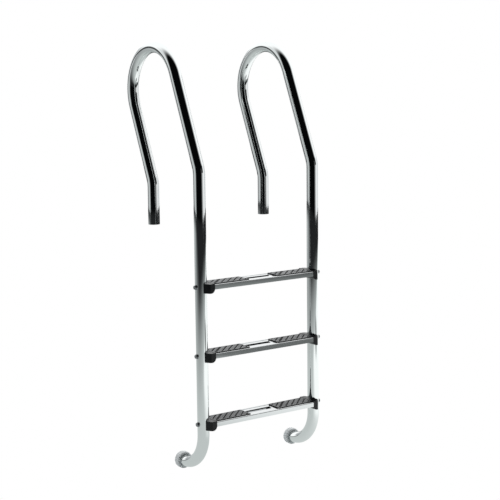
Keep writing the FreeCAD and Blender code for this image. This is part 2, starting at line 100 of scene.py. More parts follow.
def make_piece(name, mesh_data, material, replaces=(), sharp=35):
    """Turn a bmesh into a named piece that rides on the ladder and shades smoothly between edges."""
    mesh = bpy.data.meshes.new(name)
    bmesh.ops.recalc_face_normals(mesh_data, faces=mesh_data.faces)
    for edge in mesh_data.edges:
        edge.smooth = len(edge.link_faces) == 2 and edge.calc_face_angle(0) < math.radians(sharp)
    for face in mesh_data.faces:
        face.smooth = True
    mesh_data.to_mesh(mesh)
    mesh_data.free()
    piece = bpy.data.objects.new(name, mesh)
    bpy.context.scene.collection.objects.link(piece)
    mesh.materials.append(material)
    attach(piece, "root")
    if replaces:
        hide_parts(*replaces)
    return piece


# %% Join rings of points into a skin
def skin(mesh_data, rings, capped=False):
    """Faces between rings of points that have the same count; capped closes the first and the last."""
    rows = [[mesh_data.verts.new(point) for point in ring] for ring in rings]
    for row, following in zip(rows, rows[1:]):
        count = len(row)
        for at in range(count):
            after = (at + 1) % count
            mesh_data.faces.new((row[at], row[after], following[after], following[at]))
    if capped:
        mesh_data.faces.new(rows[0][::-1])
        mesh_data.faces.new(rows[-1])
    return rows


def circle_points(radius, count, place):
    """Points of a circle, each put in its place by a function of (across, up)."""
    turns = [2 * math.pi * step / count for step in range(count)]
    return [place(radius * math.cos(turn), radius * math.sin(turn)) for turn in turns]


def lathe(mesh_data, profile, count, place):
    """Turn a profile of (along, radius) round an axis; place puts (along, across, up) in the frame."""
    rings = []
    for along, radius in profile:
        rings.append(circle_points(radius, count, lambda a, b: place(along, a, b)))
    return skin(mesh_data, rings, capped=True)


print("a circle of four points:", circle_points(1, 4, lambda a, b: (round(a), round(b))))

# %% Round the corners of an outline
def round_outline(corners, steps=5):
    """Corners are (x, y, radius). Each is replaced by an arc that touches both of its edges."""
    points = []
    count = len(corners)
    for at, (x, y, radius) in enumerate(corners):
        corner = Vector((x, y))
        before = (Vector(corners[at - 1][:2]) - corner).normalized()
        after = (Vector(corners[(at + 1) % count][:2]) - corner).normalized()
        opening = before.angle(after)
        if radius <= 0 or opening > math.pi - 0.01:
            points.append(corner)
            continue
        reach = radius / math.tan(opening / 2)
        middle = corner + (before + after).normalized() * (radius / math.sin(opening / 2))
        start = (corner + before * reach - middle).normalized()
        end = (corner + after * reach - middle).normalized()
        for step in range(steps + 1):
            points.append(middle + start.slerp(end, step / steps) * radius)
    return points


print("points of a square with one round corner:",
      len(round_outline(((0, 0, 0), (1, 0, 0), (1, 1, 0.2), (0, 1, 0)))))

# %% [markdown]
# ## Finishes
# Each finish is one material on the ladder's own pieces. What several of them share, such as fine
# polishing lines or the grain of a mould, is a node group that is built once and placed with its own
# numbers. The group puts out a mask or a height; the shader itself stays in the material.

# %% Start a material
def new_material(name, color, metallic, roughness):
    """A material with one Principled shader whose plain numbers are set on its own sockets."""
    material = bpy.data.materials.new(name)
    material.use_nodes = True
    shader = material.node_tree.nodes["Principled BSDF"]
    shader.inputs["Base Color"].default_value = (*color, 1)
    shader.inputs["Metallic"].default_value = metallic
    shader.inputs["Roughness"].default_value = roughness
    return material, material.node_tree, shader


print("materials so far:", len(bpy.data.materials))


# %% Start a node group and place nodes
def new_group(name, inputs, outputs):
    """An empty node group with named sockets: inputs and outputs are (name, kind, value)."""
    group = bpy.data.node_groups.new(name, "ShaderNodeTree")
    for socket_name, kind, value in inputs:
        socket = group.interface.new_socket(socket_name, in_out="INPUT", socket_type=kind)
        if value is not None:
            socket.default_value = value
    for socket_name, kind in outputs:
        group.interface.new_socket(socket_name, in_out="OUTPUT", socket_type=kind)
    return group, group.nodes.new("NodeGroupInput"), group.nodes.new("NodeGroupOutput")


def add_node(tree, kind, **settings):
    """A node of a tree, with its settings and the values of its inputs by name or number."""
    node = tree.nodes.new(kind)
    for key, value in settings.pop("values", {}).items():
        node.inputs[key].default_value = value
    for key, value in settings.items():
        setattr(node, key, value)
    return node


def place_group(tree, group, **values):
    """A copy of a node group in a material, with its own values."""
    node = tree.nodes.new("ShaderNodeGroup")
    node.node_tree = group
    for key, value in values.items():
        node.inputs[key.replace("_", " ")].default_value = value
    return node


print("node groups so far:", len(bpy.data.node_groups))

# %% Name the sums that several trees need
def fading(tree, value, start, stop):
    """0 at start, 1 at stop, with a soft course between them."""
    node = add_node(tree, "ShaderNodeMapRange", interpolation_type="SMOOTHSTEP",
                    values={"From Min": start, "From Max": stop})
    tree.links.new(value, node.inputs["Value"])
    return node.outputs["Result"]


def times(tree, first, *others):
    """The product of several masks."""
    for other in others:
        product = add_node(tree, "ShaderNodeMath", operation="MULTIPLY")
        tree.links.new(first, product.inputs[0])
        tree.links.new(other, product.inputs[1])
        first = product.outputs[0]
    return first


def reach_along(tree, place, axis):
    """How far a place or a direction reaches along an axis."""
    node = add_node(tree, "ShaderNodeVectorMath", operation="DOT_PRODUCT", values={1: axis})
    tree.links.new(place, node.inputs[0])
    return node.outputs["Value"]


def mix_colors(tree, factor, first, second):
    """The first color where factor is 0, the second where it is 1; each is a color or a socket."""
    node = add_node(tree, "ShaderNodeMix", data_type="RGBA")
    tree.links.new(factor, node.inputs["Factor"])
    for number, color in ((6, first), (7, second)):
        if isinstance(color, tuple):
            node.inputs[number].default_value = (*color, 1)
        else:
            tree.links.new(color, node.inputs[number])
    return node.outputs[2]


print("sums:", [helper.__name__ for helper in (fading, times, reach_along, mix_colors)])

# %% [markdown]
# ### Polishing lines
# Stainless tube is polished by belts that run round it, which leaves hairlines too fine to see one
# by one. They only soften the edges of reflections. A noise that is squeezed along one direction
# gives such lines. It could be laid by the position in space, but on a bent tube the lines have to
# follow the bend, so it reads the UV map, where U runs round the tube and V along it.

# %% Build the group of polishing lines
FLOAT, COLOR, VECTOR = "NodeSocketFloat", "NodeSocketColor", "NodeSocketVector"


def build_polish_lines():
    """Hairlines as a height and worn patches as a mask, both read from the given vector."""
    inputs = (("Vector", VECTOR, None), ("Across", FLOAT, 40.0), ("Along", FLOAT, 900.0))
    outputs = (("Height", FLOAT), ("Smudge", FLOAT))
    group, start, end = new_group("polish lines", inputs, outputs)
    scale = add_node(group, "ShaderNodeCombineXYZ", values={"Z": 1.0})
    stretched = add_node(group, "ShaderNodeVectorMath", operation="MULTIPLY")
    lines = add_node(group, "ShaderNodeTexNoise", values={"Scale": 1.0, "Detail": 3.0})
    smudge = add_node(group, "ShaderNodeTexNoise", values={"Scale": 9.0, "Detail": 2.0})
    smudge_mask = add_node(group, "ShaderNodeMapRange", values={"From Min": 0.45, "From Max": 0.75})
    link = group.links.new
    link(start.outputs["Across"], scale.inputs["X"])
    link(start.outputs["Along"], scale.inputs["Y"])
    link(start.outputs["Vector"], stretched.inputs[0])
    link(scale.outputs["Vector"], stretched.inputs[1])
    link(stretched.outputs["Vector"], lines.inputs["Vector"])
    link(start.outputs["Vector"], smudge.inputs["Vector"])
    link(lines.outputs["Fac"], end.inputs["Height"])
    link(smudge.outputs["Fac"], smudge_mask.inputs["Value"])
    link(smudge_mask.outputs["Result"], end.inputs["Smudge"])
    return group


polish_lines = build_polish_lines()
print("group:", polish_lines.name)

# %% [markdown]
# ### Moulded grain
# Plastic copies the surface of its steel mould: a fine leathery grain that scatters light. A noise
# in object space is enough, because it has no direction. A second, slower noise gives the faint
# cloudiness of colour that pool water and sun leave on plastic.

# %% Build the group of moulded grain
def build_mould_grain():
    """Fine grain as a height, with clouds that shift the color and the roughness."""
    inputs = (
        ("Grain Size", FLOAT, 1500.0),
        ("Cloud Size", FLOAT, 30.0),
        ("Dark", COLOR, (0.0, 0.0, 0.0, 1.0)),
        ("Light", COLOR, (1.0, 1.0, 1.0, 1.0)),
        ("Rough Low", FLOAT, 0.4),
        ("Rough High", FLOAT, 0.6),
    )
    outputs = (("Color", COLOR), ("Roughness", FLOAT), ("Height", FLOAT))
    group, start, end = new_group("mould grain", inputs, outputs)
    place = add_node(group, "ShaderNodeTexCoord")
    grain = add_node(group, "ShaderNodeTexNoise", values={"Detail": 2.0})
    cloud = add_node(group, "ShaderNodeTexNoise", values={"Detail": 4.0, "Roughness": 0.6})
    mask = add_node(group, "ShaderNodeMapRange", values={"From Min": 0.35, "From Max": 0.65})
    rough = add_node(group, "ShaderNodeMix", data_type="FLOAT")
    link = group.links.new
    link(place.outputs["Object"], grain.inputs["Vector"])
    link(place.outputs["Object"], cloud.inputs["Vector"])
    link(start.outputs["Grain Size"], grain.inputs["Scale"])
    link(start.outputs["Cloud Size"], cloud.inputs["Scale"])
    link(cloud.outputs["Fac"], mask.inputs["Value"])
    color = mix_colors(group, mask.outputs["Result"], start.outputs["Dark"], start.outputs["Light"])
    link(mask.outputs["Result"], rough.inputs["Factor"])
    link(start.outputs["Rough Low"], rough.inputs[2])
    link(start.outputs["Rough High"], rough.inputs[3])
    link(color, end.inputs["Color"])
    link(rough.outputs[0], end.inputs["Roughness"])
    link(grain.outputs["Fac"], end.inputs["Height"])
    return group


mould_grain = build_mould_grain()
print("group:", mould_grain.name)

# %% [markdown]
# ### Polished steel
# The rails and treads are bright stainless steel, a shade cooler than silver. Almost everything that
# one sees on it is a reflection, so the roughness stays very low and the lines are barely there.

# %% Make the steel finishes
def steel(name, color, roughness, smudged, across, along, bump):
    """Bright stainless steel: color, smooth and smudged roughness, line density and line depth."""
    material, tree, shader = new_material(name, color, 1.0, roughness)
    uv = add_node(tree, "ShaderNodeUVMap")
    lines = place_group(tree, polish_lines, Across=across, Along=along)
    rough = add_node(tree, "ShaderNodeMix", data_type="FLOAT", values={2: roughness, 3: smudged})
    relief = add_node(tree, "ShaderNodeBump", values={"Strength": bump, "Distance": LINE_DEPTH})
    link = tree.links.new
    link(uv.outputs["UV"], lines.inputs["Vector"])
    link(lines.outputs["Smudge"], rough.inputs["Factor"])
    link(rough.outputs[0], shader.inputs["Roughness"])
    link(lines.outputs["Height"], relief.inputs["Height"])
    link(relief.outputs["Normal"], shader.inputs["Normal"])
    return material


LINE_DEPTH = 0.02 * MM
STEEL = (0.80, 0.82, 0.82)
rail_steel = steel("polished rail steel", STEEL, 0.04, 0.08, 30, 900, 0.08)
tread_steel = steel("bright tread steel", (0.64, 0.655, 0.66), 0.06, 0.1, 300, 900, 0.1)
fastener_steel = steel("fastener steel", (0.27, 0.28, 0.29), 0.28, 0.4, 400, 400, 0.2)
print("steels:", rail_steel.name, tread_steel.name, fastener_steel.name)

# %% [markdown]
# ### Plastics and rubber
# The anti-slip pads are slate-grey plastic, the end caps nearly black, and the foot bumpers a soft
# pale grey that has a hint of blue. They share the mould's grain and differ in colour, in grain size
# and in how shiny they are.

# %% Make the plastic finishes
def plastic(name, dark, light, rough_low, rough_high, grain_size, bump, depth):
    """Moulded plastic: darkest and lightest colour, roughness range, grain size and depth."""
    material, tree, shader = new_material(name, light, 0.0, rough_high)
    grain = place_group(tree, mould_grain, Grain_Size=grain_size, Dark=(*dark, 1), Light=(*light, 1))
    grain.inputs["Rough Low"].default_value = rough_low
    grain.inputs["Rough High"].default_value = rough_high
    relief = add_node(tree, "ShaderNodeBump", values={"Strength": bump, "Distance": depth})
    link = tree.links.new
    link(grain.outputs["Color"], shader.inputs["Base Color"])
    link(grain.outputs["Roughness"], shader.inputs["Roughness"])
    link(grain.outputs["Height"], relief.inputs["Height"])
    link(relief.outputs["Normal"], shader.inputs["Normal"])
    return material


pad_plastic = plastic("slate pad plastic", (0.015, 0.02, 0.024), (0.026, 0.033, 0.039),
                      0.26, 0.36, 1400, 0.3, 0.03 * MM)
cap_plastic = plastic("black cap plastic", (0.003, 0.0035, 0.0045), (0.007, 0.008, 0.009),
                      0.28, 0.38, 1800, 0.3, 0.03 * MM)
cap_plastic.node_tree.nodes["Principled BSDF"].inputs["Specular IOR Level"].default_value = 0.3
bumper_rubber = plastic("pale bumper rubber", (0.79, 0.825, 0.84), (0.83, 0.86, 0.875),
                        0.5, 0.65, 900, 0.1, 0.01 * MM)
print("plastics:", pad_plastic.name, cap_plastic.name, bumper_rubber.name)

# %% [markdown]
# ### Painted shade in the grooves
# Bare feet polish the tops of a pad's ribs, while the grooves between them stay matt; their colour is
# also darkened, which is painted shade in the recesses. A noise can't know which is which. The mesh
# can: each face of a pad carries a number, 1 on the raised tops and 0 elsewhere, and the material reads
# it as an attribute.

# %% Paint shade into the grooves of the pads and keep them matt
RAISED = "raised"
# painted shade: the grooves get this near-black colour in place of the pad's own, as if shade fell in
# them
GROOVE_PAINTED_SHADE = (0.004, 0.0045, 0.005)
GROOVE_ROUGHNESS = 0.85


def paint_groove_shade_keep_matt(material):
    tree = material.node_tree
    shader = tree.nodes["Principled BSDF"]
    raised = add_node(tree, "ShaderNodeAttribute", attribute_name=RAISED).outputs["Fac"]
    color, rough = shader.inputs["Base Color"], shader.inputs["Roughness"]
    top_color, top_rough = color.links[0].from_socket, rough.links[0].from_socket
    # painted shade: where the attribute is 0 the dark groove colour replaces the pad colour; the matt
    # roughness is wear
    tree.links.new(mix_colors(tree, raised, GROOVE_PAINTED_SHADE, top_color), color)
    worn = add_node(tree, "ShaderNodeMix", data_type="FLOAT", values={2: GROOVE_ROUGHNESS})
    tree.links.new(raised, worn.inputs["Factor"])
    tree.links.new(top_rough, worn.inputs[3])
    tree.links.new(worn.outputs[0], rough)


paint_groove_shade_keep_matt(pad_plastic)
print("roughness in the grooves:", GROOVE_ROUGHNESS)

# %% [markdown]
# ## The rails
# Each rail is one tube that is bent in one plane: an anchor leg, a small bend, the slanting return,
# the hand loop, the slanting front line, a second small bend, the straight stringer and the foot.
# A curve object with a round bevel would give a tube too, but then the wall's thickness and the
# clean cut at the open ends are missing. So rings are set along the centre line: the arcs get a ring
# every couple of degrees, and the straight runs need rings only at their ends.

# %% Lay out the centre line
tube_wall = 1.5 * MM
leg_straight = 138 * MM
rail_slant = math.radians(23.5)
loop_radius = 157 * MM
bend_radius = 90 * MM
foot_radius = 128 * MM
foot_straight = 24 * MM
ARC_STEP = math.radians(2)


def arc_stations(middle, radius, start, end):
    """Points and travel directions along an arc in the rail's plane, as (y, z) vectors."""
    steps = max(2, round(abs(end - start) / ARC_STEP))
    way = 1 if end > start else -1
    stations = []
    for step in range(steps + 1):
        turn = start + (end - start) * step / steps
        outward = Vector((math.cos(turn), math.sin(turn)))
        travel = Vector((-outward.y, outward.x)) * way
        stations.append((middle + outward * radius, travel))
    return stations


def rail_stations():
    """The whole centre line, from the anchor leg's lower end to the tube's end in the bumper."""
    lean = Vector((math.sin(rail_slant), math.cos(rail_slant)))
    outward = Vector((-lean.y, lean.x))
    up = Vector((0, 1))
    leg_bend_middle = Vector((bend_radius, leg_straight))
    return_start = leg_bend_middle + outward * bend_radius
    loop_height = loop_top - loop_radius
    loop_start_height = loop_height - outward.y * loop_radius
    loop_start = return_start + lean * ((loop_start_height - return_start.y) / lean.y)
    loop_middle = loop_start + outward * loop_radius
    loop_end = loop_middle + outward * loop_radius
    front_length = (loop_end.x - stringer_y - bend_radius * (1 - lean.y)) / lean.x
    top_bend_middle = loop_end - lean * front_length - outward * bend_radius
    foot_middle = Vector((stringer_y + foot_radius, foot_z + foot_radius))
    left, down = math.pi, 1.5 * math.pi
    stations = [(Vector((0, 0)), up)]
    stations += arc_stations(leg_bend_middle, bend_radius, left, left - rail_slant)
    stations += arc_stations(loop_middle, loop_radius, -rail_slant, left - rail_slant)
    stations += arc_stations(top_bend_middle, bend_radius, left - rail_slant, left)
    stations += arc_stations(foot_middle, foot_radius, left, down)
    stations.append((foot_middle + Vector((foot_straight, -foot_radius)), Vector((1, 0))))
    return stations


stations = rail_stations()
tube_length = sum((b[0] - a[0]).length for a, b in zip(stations, stations[1:]))
print("rings along a rail:", len(stations), "length in m:", round(tube_length, 3))

# %% Sweep a hollow tube along the centre line
TUBE_SIDES = 72
end_chamfer = 0.4 * MM


def build_rail(name, side):
    """One skin that runs along the outside, turns round the cut end and comes back in the bore."""
    mesh_data = bmesh.new()
    bore = tube_radius - tube_wall
    first, last = 0, len(stations) - 1
    course = [(first, bore + end_chamfer, 0), (first, tube_radius - end_chamfer, 0)]
    course += [(first, tube_radius, end_chamfer)]
    course += [(at, tube_radius, 0) for at in range(1, last)]
    course += [(last, tube_radius, -end_chamfer), (last, tube_radius - end_chamfer, 0)]
    course += [(last, bore + end_chamfer, 0), (last, bore, -end_chamfer)]
    course += [(at, bore, 0) for at in range(last - 1, 0, -1)]
    course += [(first, bore, end_chamfer), (first, bore + end_chamfer, 0)]
    rings = []
    for at, radius, shift in course:
        point, travel = stations[at]
        point = point + travel * shift
        sideways = Vector((-travel.y, travel.x))

        def place(a, b):
            return Vector((half_spacing * side + a, point.x + sideways.x * b, point.y + sideways.y * b))

        rings.append(circle_points(radius, TUBE_SIDES, place))
    rows = skin(mesh_data, rings[:-1])
    closing, opening = rows[-1], rows[0]
    for at in range(TUBE_SIDES):
        after = (at + 1) % TUBE_SIDES
        mesh_data.faces.new((closing[at], closing[after], opening[after], opening[at]))
    add_tube_uv(mesh_data, rows)
    return make_piece(name, mesh_data, rail_steel, (name,))


def add_tube_uv(mesh_data, rows):
    """U goes once round the tube and V counts metres along the skin, so the lines follow the bends."""
    uv = mesh_data.loops.layers.uv.new("UVMap")
    travelled = 0.0
    mesh_data.faces.ensure_lookup_table()
    faces = iter(mesh_data.faces)
    for row, following in zip(rows, rows[1:] + rows[:1]):
        step = (row[0].co - following[0].co).length
        for at in range(TUBE_SIDES):
            face = next(faces)
            corners = ((at, 0), (at + 1, 0), (at + 1, 1), (at, 1))
            for loop, (around, ahead) in zip(face.loops, corners):
                loop[uv].uv = (around / TUBE_SIDES, travelled + step * ahead)
        travelled += step


for side_name, side in SIDES:
    rail = build_rail(f"{side_name}_rail", side)
    print(rail.name, "faces:", len(rail.data.polygons))

# %% [markdown]
# ## The tread channels
# A tread is a pan folded from 1.5 mm sheet: front and back flanges, a raised lip along each of them,
# a lower floor that the pads lie on, and a bead pressed along the bare middle to stiffen it. Boxes
# would miss every fold. Instead one section line is drawn with round folds, given the sheet's
# thickness by moving each of its points along its own normal, and swept along the tread. Only the
# depth of the bead changes on the way, so its ends sink in softly, as pressed metal does.

# %% Draw the section of a tread
sheet = 1.5 * MM
fold_radius = 3 * MM
lip_width = 8 * MM
trough_depth = 1.5 * MM
lip_round = 2 * MM
bead_width = 26 * MM
bead_depth = 9 * MM
bead_lean = 2.3 * MM
bead_setback = 4 * MM
bead_round = 1.8 * MM
bare_middle = 127 * MM
bead_margin = 6 * MM
bead_run_out = 5 * MM


def channel_line(pressed):
    """The top face's line from the front flange's foot to the back one; pressed is 0 to 1."""
    floor = -trough_depth
    lip_end = half_depth - lip_width
    bead_front = bead_setback - bead_width / 2
    bead_back = bead_setback + bead_width / 2
    deep = floor - bead_depth
    corners = (
        (-half_depth, -channel_height, 0),
        (-half_depth, 0, fold_radius),
        (-lip_end, 0, lip_round),
        (-lip_end + trough_depth, floor, lip_round / 2),
        (bead_front, floor, bead_round),
        (bead_front + bead_lean, deep, bead_round / 2),
        (bead_back - bead_lean, deep, bead_round / 2),
        (bead_back, floor, bead_round),
        (lip_end - trough_depth, floor, lip_round / 2),
        (lip_end, 0, lip_round),
        (half_depth, 0, fold_radius),
        (half_depth, -channel_height, 0),
    )
    line = round_outline(corners)
    sunk = []
    for y, z in line:
        inside_bead = bead_front - bead_round < y < bead_back + bead_round and z <= floor
        sunk.append(Vector((y, floor + (z - floor) * pressed if inside_bead else z)))
    return sunk


def thicken(line, thickness):
    """Close a line into the outline of a sheet that lies to the right of its run."""
    under = []
    for at, point in enumerate(line):
        before = line[max(at - 1, 0)]
        after = line[min(at + 1, len(line) - 1)]
        run = (after - before).normalized()
        under.append(point + Vector((run.y, -run.x)) * thickness)
    return line + under[::-1]


outline = thicken(channel_line(1), sheet)
print("points in the section of a tread:", len(outline))

# %% Sweep the section along a tread
def press_stations():
    """Places along the tread and how deep the bead is pressed there."""
    half_bead = bare_middle / 2 - bead_margin
    stations = [(-channel_end, 0)]
    steps = 6
    for step in range(steps + 1):
        share = step / steps
        stations.append((-half_bead + bead_run_out * share, (1 - math.cos(math.pi * share)) / 2))
    mirrored = [(-x, pressed) for x, pressed in reversed(stations)]
    return stations + mirrored


def flat_uv(mesh_data):
    """Metres across the run of the metal as U and metres along X as V, face by face."""
    uv = mesh_data.loops.layers.uv.verify()
    for face in mesh_data.faces:
        size = [abs(part) for part in face.normal]
        across = 2 if size[1] > max(size[0], size[2]) else 1
        along = 2 if size[0] > max(size[1], size[2]) else 0
        for loop in face.loops:
            loop[uv].uv = (loop.vert.co[across], loop.vert.co[along])


def build_channel(level):
    """The folded pan of one tread, with the plate that closes each end."""
    name = f"{LEVELS[level]}_tread_channel"
    top = tread_z[level]
    mesh_data = bmesh.new()
    rings = []
    for x, pressed in press_stations():
        section = thicken(channel_line(pressed), sheet)
        rings.append([Vector((x, stringer_y + y, top + z)) for y, z in section])
    skin(mesh_data, rings, capped=True)
    line = channel_line(0)
    inner = thicken(line, sheet)[len(line):]
    for _, side in SIDES:
        plate = []
        for x in (channel_end * side, (channel_end - sheet) * side):
            plate.append([Vector((x, stringer_y + y, top + z)) for y, z in inner])
        skin(mesh_data, plate, capped=True)
    mesh_data.normal_update()
    flat_uv(mesh_data)
    return make_piece(name, mesh_data, tread_steel, (name,))


def weigh_normals(piece):
    """Let the large flat faces decide the shading, so reflections stay straight up to each fold."""
    modifier = piece.modifiers.new("flat faces lead", "WEIGHTED_NORMAL")
    modifier.keep_sharp = True
    modifier.weight = 100


for level in range(len(LEVELS)):
    channel = build_channel(level)
    weigh_normals(channel)
    print(channel.name, "faces:", len(channel.data.polygons))

# %% [markdown]
# ## The anti-slip pads
# A pad is a moulded plate in the trough. Wide grooves drain it at 45 degrees, and fine ribs
# between them give grip. A bump texture would look the same from afar, but the ribs catch light
# along their edges, so they are real: each is a strip of a rectangle between two slanted lines. A
# small function clips a polygon at a line, and clipping the rectangle twice gives any rib.

# %% Cut strips out of a rectangle
def clip(polygon, keep):
    """The part of a convex polygon where keep(point), which is linear, is not negative."""
    kept = []
    for here, there in zip(polygon, polygon[1:] + polygon[:1]):
        value, following = keep(here), keep(there)
        if value >= 0:
            kept.append(here)
        if (value >= 0) != (following >= 0):
            kept.append(here.lerp(there, value / (value - following)))
    return kept


def strip(half_length, half_width, low, high):
    """The part of a rectangle where x - y lies between low and high."""
    corners = [Vector((-half_length, -half_width)), Vector((half_length, -half_width)),
               Vector((half_length, half_width)), Vector((-half_length, half_width))]
    corners = clip(corners, lambda point: point.x - point.y - low)
    return clip(corners, lambda point: high - point.x + point.y) if corners else []


def add_block(mesh_data, foot, top_outline, low, shoulder, high, place):
    """A block on an outline, whose top edge is eased from shoulder height to the inset top."""
    rings = [[place(x, y, low) for x, y in foot], [place(x, y, shoulder) for x, y in foot],
             [place(x, y, high) for x, y in top_outline]]
    skin(mesh_data, rings, capped=True)


print("corners of a slanted strip:", len(strip(2, 1, 0, 0.5)))

# %% Mould a pad
pad_gap = 0.5 * MM
pad_top = 2.5 * MM
groove_depth = 1.2 * MM
groove_pitch = 26 * MM
groove_mouth = 6 * math.sqrt(2) * MM
pad_border = 4 * MM
blocks = range(-3, 6)
rib_rows = 4
rib_gap = 0.7 * MM
rib_ease = 0.35 * MM
border_round = 2.5 * MM
pad_start = bare_middle / 2
pad_length = channel_end - pad_start
pad_half_length = pad_length / 2 - pad_gap
pad_half_width = half_depth - lip_width - trough_depth - pad_gap


def pad_ribs():
    """Where each rib begins and ends along the middle of the pad, the ones past its ends too."""
    run = pad_half_width - pad_border
    first_groove = -pad_half_length + pad_border + run
    ribs = []
    block = groove_pitch - groove_mouth
    pitch = (block + rib_gap) / rib_rows
    for number in blocks:
        begin = first_groove + number * groove_pitch + groove_mouth
        for row in range(rib_rows):
            ribs.append((begin + row * pitch, begin + (row + 1) * pitch - rib_gap))
    return ribs


def round_rectangle(half_length, half_width, radius):
    """The outline of a rectangle round its own middle."""
    corners = ((-half_length, -half_width, radius), (half_length, -half_width, radius),
               (half_length, half_width, radius), (-half_length, half_width, radius))
    return round_outline(corners, steps=4)


def build_pad(level, side_name, side):
    """The plate, the border round it and the ribs, all at one end of one tread."""
    name = f"{LEVELS[level]}_tread_{side_name}_pad"
    middle = (pad_start + pad_length / 2) * side
    top = tread_z[level]

    def place(x, y, z):
        return Vector((middle + x, stringer_y + y, top + z))

    mesh_data = bmesh.new()
    floor = pad_top - groove_depth
    outer = round_rectangle(pad_half_length, pad_half_width, border_round)
    eased = round_rectangle(pad_half_length - rib_ease, pad_half_width - rib_ease, border_round)
    inner = round_rectangle(pad_half_length - pad_border, pad_half_width - pad_border, border_round / 2)
    sunk = [place(x, y, floor) for x, y in inner]
    rings = [
        [place(x, y, -trough_depth) for x, y in outer],
        [place(x, y, pad_top - rib_ease) for x, y in outer],
        [place(x, y, pad_top) for x, y in eased],
        [place(x, y, pad_top) for x, y in inner],
        sunk,
    ]
    skin(mesh_data, rings, capped=True)
    for low, high in pad_ribs():
        field = (pad_half_length - pad_border + rib_ease, pad_half_width - pad_border + rib_ease)
        foot = strip(*field, low, high)
        head = strip(field[0] - rib_ease, field[1] - rib_ease, low + rib_ease, high - rib_ease)
        if len(foot) > 2 and len(foot) == len(head):
            add_block(mesh_data, foot, head, floor - rib_ease, pad_top - rib_ease, pad_top, place)
    pad = make_piece(name, mesh_data, pad_plastic, (name,))
    # faces marked 0 are the grooves, which the material darkens with painted shade and keeps matt
    raised = pad.data.attributes.new(RAISED, "FLOAT", "FACE")
    for face in pad.data.polygons:
        raised.data[face.index].value = 1.0 if face.center.z > top + pad_top - rib_ease else 0.0
    return pad


for level, level_name in enumerate(LEVELS):
    for side_name, side in SIDES:
        pad = build_pad(level, side_name, side)
    print(level_name, "pads, faces each:", len(pad.data.polygons))

# %% [markdown]
# ## The end caps
# A cap is a moulded block that fills the gap between tube and tread. It has a saddle for the tube,
# two horns that reach past the tube's middle, a rounded belly below and a slim ridge on top beside
# the pad. It is easiest as a carpenter would cut it: one outline extruded downwards gives the plan,
# a second extruded from front to back gives the belly, and the cap is what both share, less the
# tube. The Boolean modifier does that exactly, and a Bevel modifier then eases every edge.

# %% Extrude outlines for the cap
cap_reach = 31 * MM
cap_height = 34 * MM
cap_corner = 10 * MM
horn_reach = 3 * MM
horn_thickness = 3 * MM
cap_belly = 16 * MM
cap_corner_round = 8 * MM
saddle_clearance = 0.1 * MM
cap_ease = 1 * MM
cap_ease_angle = math.radians(40)
SADDLE_SIDES = 96


def extruded(name, corners, low, high, place):
    """A loose object: an outline of (a, b, radius) corners between two depths."""
    mesh_data = bmesh.new()
    outline = round_outline(corners, steps=10)
    skin(mesh_data, [[place(a, b, depth) for a, b in outline] for depth in (low, high)], capped=True)
    bmesh.ops.recalc_face_normals(mesh_data, faces=mesh_data.faces)
    mesh = bpy.data.meshes.new(name)
    mesh_data.to_mesh(mesh)
    mesh_data.free()
    loose = bpy.data.objects.new(name, mesh)
    bpy.context.scene.collection.objects.link(loose)
    return loose


def carve(base, operation, tool):
    """Keep what the tool shares with the base, or take the tool away from it."""
    modifier = base.modifiers.new(operation.lower(), "BOOLEAN")
    modifier.operation = operation
    modifier.solver = "EXACT"
    modifier.object = tool


def applied_mesh(loose, name):
    """The mesh that an object's modifiers make."""
    bpy.context.view_layer.update()
    evaluated = loose.evaluated_get(bpy.context.evaluated_depsgraph_get())
    mesh = bpy.data.meshes.new_from_object(evaluated)
    mesh.name = name
    return mesh


print("cap height in mm:", round(cap_height / MM))

# %% Carve the cap once
def carve_cap():
    """The left cap at the origin: the tube's axis is Z, the tread is towards +X, its top is at 0."""
    horn = tube_radius + horn_thickness
    plan = (
        (cap_reach, -half_depth, 0),
        (cap_corner, -half_depth, cap_corner_round),
        (-horn_reach, -horn, horn_thickness / 2),
        (-horn_reach, horn, horn_thickness / 2),
        (cap_corner, half_depth, cap_corner_round),
        (cap_reach, half_depth, 0),
    )
    belly = (
        (cap_reach, pad_top, 0),
        (-cap_reach, pad_top, 0),
        (-cap_reach, pad_top - cap_height, 0),
        (cap_reach, pad_top - cap_height, cap_belly),
    )
    ring = circle_points(tube_radius + saddle_clearance, SADDLE_SIDES, lambda a, b: (a, b, 0))
    block = extruded("plan", plan, -cap_height * 2, cap_height, lambda a, b, z: Vector((a, b, z)))
    side_view = extruded("belly", belly, -half_depth * 2, half_depth * 2,
                         lambda a, b, y: Vector((a, y, b)))
    tube = extruded("saddle", ring, -cap_height * 2, cap_height, lambda a, b, z: Vector((a, b, z)))
    carve(block, "INTERSECT", side_view)
    carve(block, "DIFFERENCE", tube)
    ease = block.modifiers.new("ease", "BEVEL")
    ease.width = cap_ease
    ease.segments = 3
    ease.limit_method = "ANGLE"
    ease.angle_limit = cap_ease_angle
    mesh = applied_mesh(block, "cap")
    for loose in (block, side_view, tube):
        bpy.data.objects.remove(loose)
    return mesh


cap_mesh = carve_cap()
print("faces in a cap:", len(cap_mesh.polygons))

# %% Set a cap at each end of each tread
ridge_width = 2.4 * MM
ridge_height = 0.7 * MM
ridge_inset = 0.6 * MM


